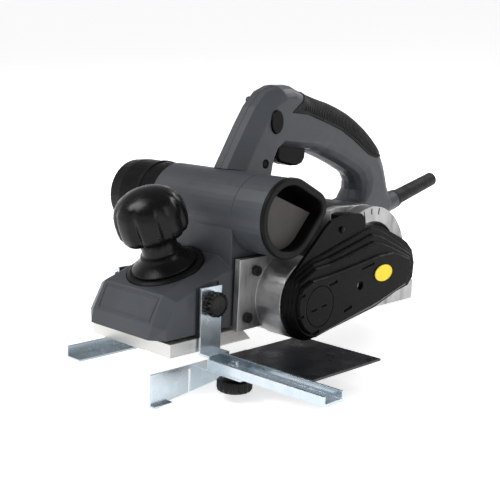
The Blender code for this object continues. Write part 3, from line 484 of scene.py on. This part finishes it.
def case_marks():
    """Three radial ticks on the case's rim above the motor."""
    bm = bmesh.new()
    for angle in TICK_ANGLES:
        t = math.radians(angle)
        along = Vector((0, math.cos(t), math.sin(t)))
        centre = Vector((CASE_FACE, *MOTOR)) + along * TICK_RADIUS
        block(bm, centre, along, along.cross(Vector((1, 0, 0))), TICK)
    placed("case_ticks", bm, RECESS_SHADE, "machine")


# Each slot's angle on the adapter, x and length
SLOTS = ((38, -53.5, 7), (38, -56.5, 7), (96, -53.5, 8))
SLOT_RADIUS = 28.1


def adapter_slot_shades():
    """Three slots, drawn as near-black bars of painted shade, and a lip on the hose adapter."""
    # Each slot is a thin dark bar on the adapter's surface: painted shade for the opening
    bm = bmesh.new()
    for angle, x, length in SLOTS:
        t = math.radians(angle)
        out = Vector((0, -math.sin(t - math.pi / 2), math.sin(t)))
        centre = Vector((x, *DUCT)) + out * SLOT_RADIUS
        block(bm, centre, out.cross(Vector((1, 0, 0))), (1, 0, 0), (length, 0.9, 0.5))
    placed("adapter_slot_shades", bm, RECESS_SHADE, "machine")
    bm = bmesh.new()
    profile = [(28.15, 0, 0), (28.9, 0.3, 0), (28.9, 2.4, 0), (28.15, 2.7, 0)]
    lathe(bm, profile, (-62, *DUCT), (-1, 0, 0), steps=64)
    placed("adapter_lip", bm, SATIN, "machine")


# Crest of the handle at mid plane as y and z, from its rear end to the front
CREST = ((131, 125.7), (123.5, 133.7), (114.8, 141), (104.5, 148.5), (93, 155.3), (82, 160.5),
         (69.6, 165.1), (56, 169.2), (41, 172.6), (28, 176), (19, 180))
# The rubber cap's lower edge on the handle's side
CAP_EDGE = ((131, 125.5), (117, 123.2), (106, 126), (98, 130.2), (82, 139.8), (65, 148.2),
            (43.5, 155.2), (21, 161.8), (3.5, 163))
# The handle's section over its crest: shares of its half width, and depths below the crest
ARCH = ((0.0, 0.0), (0.40, 1.0), (0.67, 3.6), (0.87, 7.6), (0.97, 11.2), (1.0, 13.4))
GRIP_HALF = 17.0
RIB_PITCH, RIB_START, RIB_END = 2.15, 3.0, 4.0
RIB_EDGE_GAP, RIB_LEAST_REACH, RIB_SINK = 1.6, 9.0, 0.25
# A rib's section: places along the crest and heights over the cap
RIB_SECTION = ((-0.75, -0.5), (-0.45, 0.45), (0.45, 0.45), (0.75, -0.5))
CAP_SINK = 0.6  # the cap's surface lies this far below the crest
FAR_FROM_EDGE = 16.0  # the reach where the line into the handle misses the cap's edge


def crest_places(pitch, start, end):
    """Points along the crest at equal steps, each with the crest's direction there."""
    runs = [(Vector(a), Vector(b)) for a, b in zip(CREST, CREST[1:])]
    ways = [(b - a).normalized() for a, b in runs]
    total = sum((b - a).length for a, b in runs)
    place = start
    while place < total - end:
        left = place
        for k, (a, b) in enumerate(runs):
            length = (b - a).length
            if left <= length:
                share = left / length
                before, after = ways[max(0, k - 1)], ways[min(len(ways) - 1, k + 1)]
                along = (before.lerp(ways[k], min(1, share + 0.5))
                         .lerp(after, max(0, share - 0.5))).normalized()
                yield a.lerp(b, share), along
                break
            left -= length
        place += pitch


def depth_to_edge(point, inward):
    """How far the cap reaches from a crest point, measured along the direction into the handle."""
    for a, b in zip(CAP_EDGE, CAP_EDGE[1:]):
        a, b = Vector(a), Vector(b)
        run = b - a
        cross = inward.x * run.y - inward.y * run.x
        if abs(cross) < 1e-6:
            continue
        gap = a - point
        along_edge = (gap.x * inward.y - gap.y * inward.x) / cross
        if 0 <= along_edge <= 1:
            return (gap.x * run.y - gap.y * run.x) / cross
    return FAR_FROM_EDGE


def grip_ribs():
    """Ribs across the rubber cap, each an arch that follows its rounded section."""
    bm = bmesh.new()
    for point, along in crest_places(RIB_PITCH, RIB_START, RIB_END):
        inward = Vector((-along.y, along.x))
        reach = depth_to_edge(point, inward) - RIB_EDGE_GAP
        if reach < RIB_LEAST_REACH:
            continue
        side = [(GRIP_HALF * share, min(depth, reach)) for share, depth in ARCH]
        if reach - side[-1][1] >= 0.5:
            side.append((GRIP_HALF, reach))
        arch = [(-x, d) for x, d in side[:0:-1]] + side
        rings = []
        for k, (x, depth) in enumerate(arch):
            before, after = arch[max(0, k - 1)], arch[min(len(arch) - 1, k + 1)]
            run = Vector((after[0] - before[0], after[1] - before[1])).normalized()
            out = Vector((run.y, -run.x))
            ring = []
            for width, height in RIB_SECTION:
                lift = height + RIB_SINK
                flat = point + inward * (depth - CAP_SINK + out.y * lift) + along * width
                ring.append(bm.verts.new((x + out.x * lift, flat.x, flat.y)))
            rings.append(ring)
        skin(bm, rings)
    placed("grip_ribs", bm, RIB, "machine")


def mouth(grow, steps=30):
    """Outline of the duct's left mouth: a large circle and a small one with their tangents."""
    (cy, cz), big, (dy, dz), small = DUCT, 28.6 + grow, (-30.0, 97.5), 12.0 + grow
    facing = math.atan2(dz - cz, dy - cy)
    spread = math.acos((big - small) / math.hypot(dy - cy, dz - cz))
    points = []
    for i in range(steps + 1):
        t = facing + spread + (2 * math.pi - 2 * spread) * i / steps
        points.append((cy + big * math.cos(t), cz + big * math.sin(t)))
    for i in range(steps // 2 + 1):
        t = facing - spread + 2 * spread * i / (steps // 2)
        points.append((dy + small * math.cos(t), dz + small * math.sin(t)))
    return points


def band(bm, rings):
    """Skin a closed run of outlines (x, outline) that comes back to its start."""
    loops = [[bm.verts.new((x, y, z)) for y, z in outline] for x, outline in rings]
    skin(bm, loops + loops[:1], caps=False)


# The flap's straight upper edge: its height over y 0, and its fall along y
FLAP_EDGE, FLAP_FALL = 83.12, 0.42
FLAP_FRONT, FLAP_BACK = 61.0, 58.0


def duct_mouth():
    """Thick dark rim, black lining of painted shade inside the duct, and the chip flap behind them.
    """
    bm = bmesh.new()
    band(bm, [(68.3, mouth(0.7)), (70.8, mouth(0.7)), (71.6, mouth(-0.2)), (71.6, mouth(-3.8)),
              (70.8, mouth(-4.8)), (68.3, mouth(-4.8))])
    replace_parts(placed("mouth_rim", bm, SATIN, "machine"), "duct_rim")
    # Black sheet inside the duct behind the rim: painted shade for the duct's deep, dark inside
    bm = bmesh.new()
    band(bm, [(44.2, mouth(-3.3)), (68.2, mouth(-3.3)), (68.2, mouth(-4.0)), (44.2, mouth(-4.0))])
    placed("mouth_shade_lining", bm, BLACK, "machine")
    bm = bmesh.new()
    outline = [(y, z) for y, z in mouth(-4.6, steps=60) if z < FLAP_EDGE - FLAP_FALL * y]
    skin(bm, [[bm.verts.new((x, y, z)) for y, z in outline] for x in (FLAP_FRONT, FLAP_BACK)])
    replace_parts(placed("mouth_flap", bm, FLAP, "machine", 20), "duct_flap")


PANEL = ((-27.5, -149.4, 24.2), (27.5, -149.4, 24.2), (28.0, -141.8, 39.4), (-28.0, -141.8, 39.4))
PANEL_OUT = Vector((0, -0.893, 0.45))
BORDER_WIDTH, BORDER_HEIGHT = 0.9, 0.7


def nose_panel():
    """Raised border of the panel on the housing's nose."""
    bm = bmesh.new()
    for here, after in zip(PANEL, PANEL[1:] + PANEL[:1]):
        here, after = Vector(here), Vector(after)
        run = after - here
        block(bm, (here + after) / 2, run, PANEL_OUT,
              (run.length + BORDER_WIDTH, BORDER_HEIGHT, BORDER_WIDTH))
    placed("nose_panel", bm, SLATE, "machine")


depth_knob()
thumb_knobs()
springs()
screws()
case_marks()
adapter_slot_shades()
duct_mouth()
grip_ribs()
nose_panel()


# ---------------------------------------------------------------- stage, camera and light

CAMERA_ANGLES = (43.03, 10.68, -2.10)  # azimuth, pitch and roll, in degrees
CAMERA_PLACE = (0.5218, -0.5808, 0.1994)
LENS = 71.35


def camera():
    """The photograph's viewpoint, in the machine's frame."""
    azimuth, pitch, roll = (math.radians(a) for a in CAMERA_ANGLES)
    back = Vector((math.sin(azimuth) * math.cos(pitch), -math.cos(azimuth) * math.cos(pitch),
                   math.sin(pitch)))
    right = Vector((math.cos(azimuth), math.sin(azimuth), 0.0))
    down = (-back).cross(right)
    turned_right = right * math.cos(roll) + down * math.sin(roll)
    turned_down = down * math.cos(roll) - right * math.sin(roll)
    axes = Matrix((turned_right, -turned_down, back)).transposed().to_4x4()
    data = bpy.data.cameras.new("camera")
    data.lens = LENS
    data.sensor_width = 36.0
    data.clip_start = 0.01
    obj = bpy.data.objects.new("camera", data)
    obj.matrix_world = Matrix.Translation(CAMERA_PLACE) @ axes
    bpy.context.scene.collection.objects.link(obj)
    bpy.context.scene.camera = obj


# Where the machine touches the floor, as y and z: under the guide fence and at the sole's heel
TOE, HEEL = (-0.155, -0.0340), (0.145, -0.0003)
FAR = 30.0


def floor():
    """The plane the machine stands on, nose up on its guide fence."""
    slope = (HEEL[1] - TOE[1]) / (HEEL[0] - TOE[0])
    mesh = bpy.data.meshes.new("floor")
    corners = [(x, y, TOE[1] + (y - TOE[0]) * slope) for x, y in
               ((-FAR, -FAR), (FAR, -FAR), (FAR, FAR), (-FAR, FAR))]
    mesh.from_pydata(corners, [], [(0, 1, 2, 3)])
    obj = bpy.data.objects.new("floor", mesh)
    bpy.context.scene.collection.objects.link(obj)
    made = Recipe("floor_paper", 0.85)
    made.colour(made.tones(made.noise(scale=3, detail=2), (0.93,) * 3, (0.95,) * 3))
    made.shader.inputs["Emission Color"].default_value = (1.0, 1.0, 1.0, 1.0)
    made.shader.inputs["Emission Strength"].default_value = 0.62
    dress(obj, made.material)


AIM = Vector((0.0, 0.0, 0.05))


def lamp(name, place, size, power):
    """A soft rectangular lamp, size in metres and power in watts, aimed at the machine."""
    data = bpy.data.lights.new(name, "AREA")
    data.shape = "RECTANGLE"
    data.size, data.size_y = size
    data.energy = power
    obj = bpy.data.objects.new(name, data)
    obj.location = place
    obj.rotation_euler = (AIM - Vector(place)).to_track_quat("-Z", "Y").to_euler()
    bpy.context.scene.collection.objects.link(obj)


# The world's colour by the view direction's height, from 0 straight down to 1 straight up
SKY = ((0.24, (0.95, 0.95, 0.95, 1.0)), (0.42, (0.26, 0.26, 0.27, 1.0)))


def light():
    """White at and below the horizon, dimmer overhead, and soft lamps that shape the machine."""
    world = bpy.data.worlds.new("studio")
    world.use_nodes = True
    tree = world.node_tree
    place = tree.nodes.new("ShaderNodeTexCoord")
    split = tree.nodes.new("ShaderNodeSeparateXYZ")
    ramp = tree.nodes.new("ShaderNodeValToRGB")
    for element, (height, colour) in zip(ramp.color_ramp.elements, SKY):
        element.position, element.color = height, colour
    tree.links.new(place.outputs["Generated"], split.inputs["Vector"])
    tree.links.new(split.outputs["Z"], ramp.inputs["Fac"])
    tree.links.new(ramp.outputs["Color"], tree.nodes["Background"].inputs["Color"])
    tree.nodes["Background"].inputs["Strength"].default_value = 1.0
    bpy.context.scene.world = world
    lamp("key", (-0.5, -0.9, 1.3), (0.8, 0.8), 17)
    lamp("side", (1.4, 0.1, 0.8), (0.6, 1.0), 4)
    lamp("rim", (0.1, 1.3, 1.1), (1.2, 0.5), 9)
    bpy.context.scene.view_settings.view_transform = "Standard"


camera()
floor()
light()
